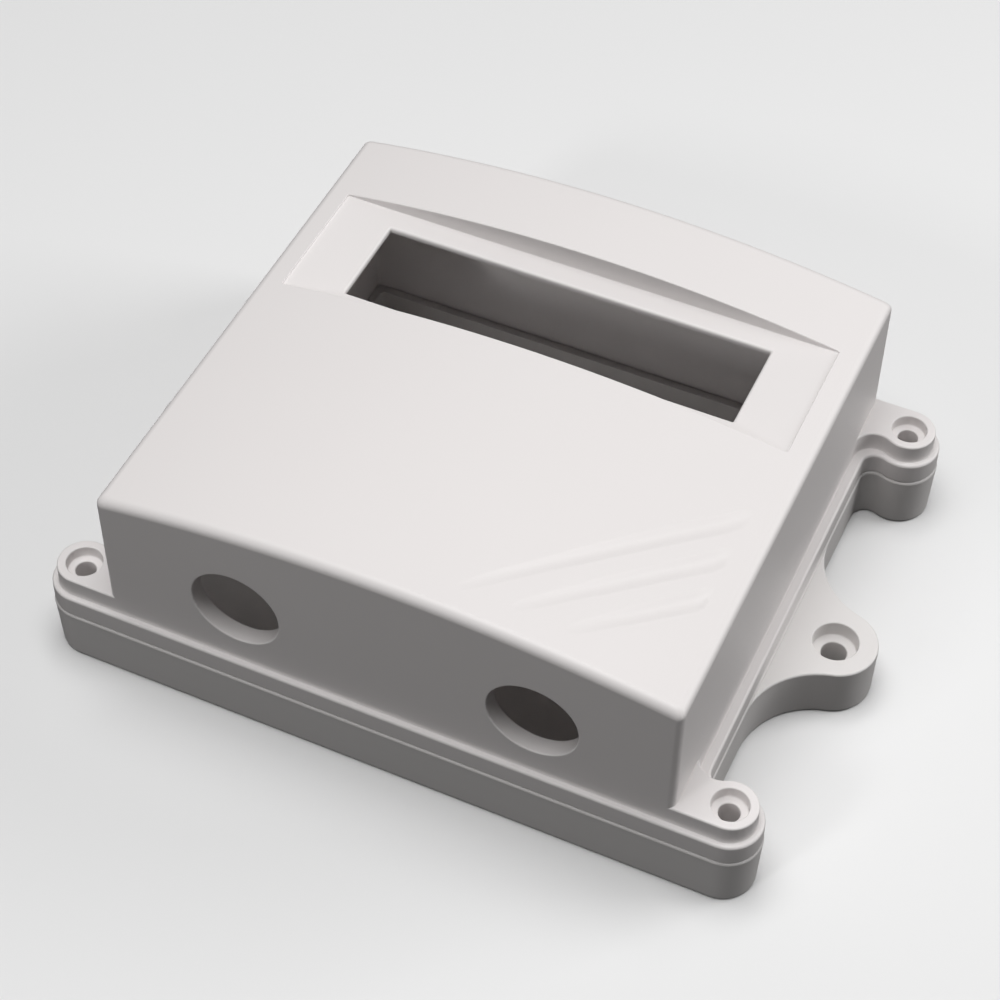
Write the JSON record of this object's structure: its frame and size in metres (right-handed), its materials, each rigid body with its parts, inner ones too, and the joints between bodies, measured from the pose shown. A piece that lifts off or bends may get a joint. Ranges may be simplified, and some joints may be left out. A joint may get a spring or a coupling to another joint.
{
  "type": "injection moulded plastic housing",
  "caption": "Wall-mount moulded plastic instrument housing: base tray with two screw ears and an arched cover with a display window, cable gland holes and slanting grooves.",
  "frame": {"origin": "middle of the underside of the base, on the wall plane", "axes": "+X along the gland side towards the grooved corner's side, -Y towards the gland holes, +Z out of the wall through the cover"},
  "size_m": [0.1386, 0.1014, 0.0482],
  "materials": {
    "base_plastic": "fine matt moulded texture, warm off-white",
    "cover_plastic": "fine matt moulded texture, warm off-white"
  },
  "bodies": {
    "root": {"base": "base_plastic", "cover": "cover_plastic"}
  },
  "joints": []
}
